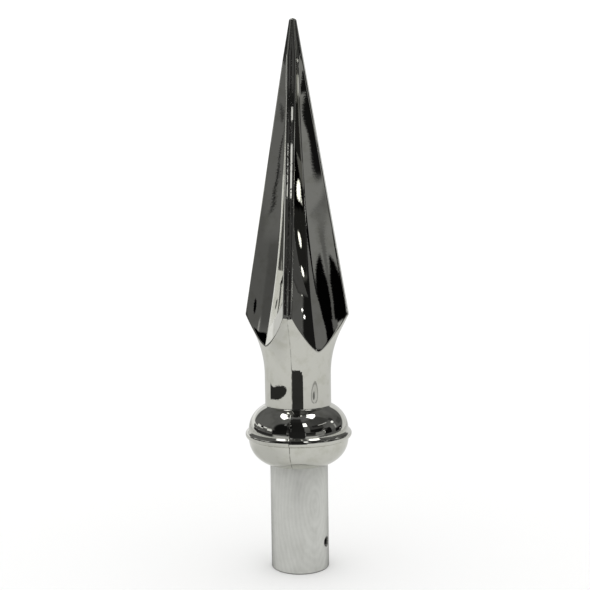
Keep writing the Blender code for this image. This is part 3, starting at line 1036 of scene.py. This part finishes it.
# %% Screens and panels of the room
ROOM_PATCHES = [
    # shape, bearing, half width, elevation, half height, slope, level, soft edge
    (BOX, -108.0, 24.0, 27.0, 22.0, 0.0, 0.14, 0.35),
    (BOX, 45.0, 22.0, 50.0, 16.0, 0.0, 0.07, 0.40),
    (BOX, 72.0, 27.0, 53.0, 14.0, 0.0, 0.060, 0.35),
    (BOX, -12.0, 24.0, 60.0, 16.0, 0.0, 0.020, 0.40),
    (BOX, 45.0, 20.0, 30.0, 8.5, 0.0, 0.05, 0.30),
    (OVAL, -44.0, 20.0, 28.0, 20.0, 0.0, 0.008, 0.45),
    (BOX, -5.0, 21.0, 28.0, 32.0, 0.0, 0.014, 0.25),
    (BOX, 43.0, 17.0, 17.0, 7.5, 0.0, 0.008, 0.40),
    (BOX, 21.0, 6.5, 28.0, 9.0, 0.0, 0.14, 0.50),
    (BOX, 72.0, 8.5, 14.0, 6.0, 0.0, 0.010, 0.30),
    (BOX, 51.0, 9.0, 4.0, 4.5, 0.0, 0.26, 0.40),
    (BOX, 104.0, 6.0, 37.0, 5.0, 0.0, 0.04, 0.40),
    (BOX, 103.0, 14.0, 5.6, 2.4, 0.0, 0.012, 0.30),
    (BOX, 108.0, 12.0, 1.4, 1.2, 0.0, 0.11, 0.40),
    (BOX, -21.0, 4.0, 20.5, 4.5, 0.0, 0.050, 0.40),
    (BOX, -21.0, 4.0, 28.5, 2.0, 0.0, 0.070, 0.40),
    (BOX, -1.0, 13.0, 11.6, 3.2, -0.12, 0.245, 0.30),
    (BOX, 14.0, 11.0, 8.6, 5.4, 0.0, 0.235, 0.35),
    (OVAL, -11.0, 21.5, 8.2, 2.75, 0.0, 0.008, 0.10),
    (BOX, -5.8, 1.8, 10.7, 0.95, 0.0, 0.008, 0.12),
    (BOX, -22.0, 3.0, 14.4, 1.3, 0.0, 0.018, 0.30),
    (OVAL, -7.0, 3.2, 10.2, 0.35, -0.05, 0.09, 0.50),
    (BOX, -29.2, 8.3, 10.5, 2.1, 0.0, 0.150, 0.06),
    (BOX, 75.0, 12.0, 6.6, 2.6, 0.0, 0.024, 0.30),
    (OVAL, 43.0, 23.5, 7.2, 4.6, 0.0, 0.001, 0.05),
    (OVAL, 19.0, 7.5, 6.9, 0.85, 0.02, 0.215, 0.35),
    (BOX, 28.5, 13.5, 7.15, 0.36, 0.03, 0.13, 0.45),
    (BOX, 60.0, 36.0, 11.3, 1.5, -0.05, 0.17, 0.15),
    (BOX, 46.0, 7.0, 5.2, 1.8, 0.0, 0.42, 0.25),
    (BOX, 39.8, 1.8, 7.2, 0.9, 0.0, 0.14, 0.40),
    (BOX, -90.0, 32.0, 0.5, 2.5, 0.0, 0.03, 0.50),
    (BOX, -72.0, 17.0, 6.8, 4.6, 0.0, 0.115, 0.30),
    (BOX, -75.0, 14.0, 9.4, 1.6, -0.02, 0.088, 0.60),
    (BOX, -46.5, 14.0, 10.0, 3.8, 0.0, 0.150, 0.35),
    (OVAL, -81.5, 2.8, 5.2, 0.5, 0.0, 0.0, 0.40),
    (BOX, -53.0, 3.4, 8.2, 0.14, 0.42, 0.015, 0.60),
    (BOX, -44.0, 6.6, 10.9, 0.13, 0.24, 0.020, 0.70),
    (OVAL, -40.5, 1.2, 10.3, 0.25, 0.0, 0.06, 0.60),
    (BOX, -38.0, 22.0, -1.0, 3.0, 0.0, 0.45, 0.50),
    (BOX, 0.0, 13.0, 2.0, 5.0, 0.0, 0.035, 0.40),
    (BOX, 30.0, 15.0, -1.0, 2.0, 0.0, 0.50, 0.50),
    (BOX, -72.5, 6.5, 14.2, 3.0, 0.0, 1.0, 0.25),
    (BOX, 18.5, 5.5, 47.0, 7.0, 0.0, 2.6, 0.20),
    (BOX, -38.0, 3.0, 45.0, 3.0, 0.0, 0.20, 0.50),
    (BOX, -112.0, 46.0, 69.0, 5.0, 0.0, 2.6, 0.15),
    (BOX, 115.0, 48.0, 72.0, 6.0, 0.0, 2.6, 0.15),
    (OVAL, 98.5, 4.5, 29.0, 3.5, 0.0, 1.4, 0.40),
    (BOX, 98.0, 2.5, 16.0, 5.5, 0.0, 0.40, 0.50),
    (OVAL, 62.5, 2.6, 8.5, 0.45, -0.28, 3.0, 0.35),
    (OVAL, 73.0, 2.4, 6.2, 0.33, 0.05, 3.0, 0.35),
    (OVAL, 85.0, 2.4, 5.4, 0.42, 0.05, 3.0, 0.35),
    (OVAL, 104.5, 0.6, 3.7, 0.24, 0.0, 3.0, 0.35),
    (OVAL, 106.6, 0.45, 3.0, 0.20, 0.0, 3.0, 0.35),
    (OVAL, 112.0, 1.2, 2.9, 0.24, 0.0, 3.0, 0.35),
    (BOX, 60.0, 4.2, 14.8, 0.6, -0.05, 2.5, 0.30),
]
SWEEP_MARKS = [
    # the same columns, for the dark marks on the white sweep at the left
    (OVAL, -107.0, 15.0, 3.9, 0.50, 0.19, 0.12, 0.60),
    (OVAL, -113.5, 3.8, 4.6, 0.50, 0.12, 0.15, 0.60),
    (OVAL, -92.0, 6.0, 6.6, 0.40, 0.15, 0.35, 0.60),
]
print("room of", len(ROOM_PATCHES), "screens and panels,", len(SWEEP_MARKS), "marks on the sweep")

# %% The studio
EVEN_LIGHT = 1.1
WHITE = (1.0, 1.0, 1.0, 1.0)
ROOM_LEVEL = 0.05
ROOM_CLOUDS = 0.14
SWEEP_LEVEL = 0.72
SWEEP_SLOPE = 0.62
SWEEP_DROP = 72.0
NEAR_SWEEP_LEVEL = 0.95


def studio_world():
    """Even white to the lens and to matt surfaces, the room to bright metal."""
    world = bpy.data.worlds.new("studio")
    bpy.context.scene.world = world
    world.cycles.sampling_method = "NONE"
    bench = Bench(world)
    direction = bench.node("ShaderNodeTexCoord")
    azimuth = bearing(bench, direction)
    upward = bench.node("ShaderNodeSeparateXYZ", None, {0: direction}, output=2)
    elevation = upward.math("ARCSINE", upward).degrees()
    level = bench.noise(2.2, 3.0, where=direction) * ROOM_CLOUDS + ROOM_LEVEL
    sweep_top = azimuth.absolute() * SWEEP_SLOPE - SWEEP_DROP
    level = level.blended(SWEEP_LEVEL, bench.smooth_step(sweep_top - elevation, -1.5, 2.5))
    level = lay_patches(bench, level, azimuth, elevation, ROOM_PATCHES)
    near_sweep = bench.smooth_step(azimuth, -98.0, -102.0) * bench.smooth_step(elevation, 11.5, 9.5)
    level = level.blended(NEAR_SWEEP_LEVEL, near_sweep * bench.smooth_step(elevation, 0.5, 1.5))
    level = lay_patches(bench, level, azimuth, elevation, SWEEP_MARKS)

    even = bench.node("ShaderNodeBackground", None, {"Color": WHITE, "Strength": EVEN_LIGHT})
    room = bench.node("ShaderNodeBackground", None, {"Color": WHITE, "Strength": level})
    plain = bench.node("ShaderNodeLightPath", output=0).larger(bench.node("ShaderNodeLightPath", output=2))
    mixed = bench.node("ShaderNodeMixShader", None, {0: plain, 1: room, 2: even})
    bench.node("ShaderNodeOutputWorld", None, {"Surface": mixed})
    print("studio has", len(bench.tree.nodes), "nodes")


studio_world()
bpy.context.scene.view_settings.view_transform = "Standard"
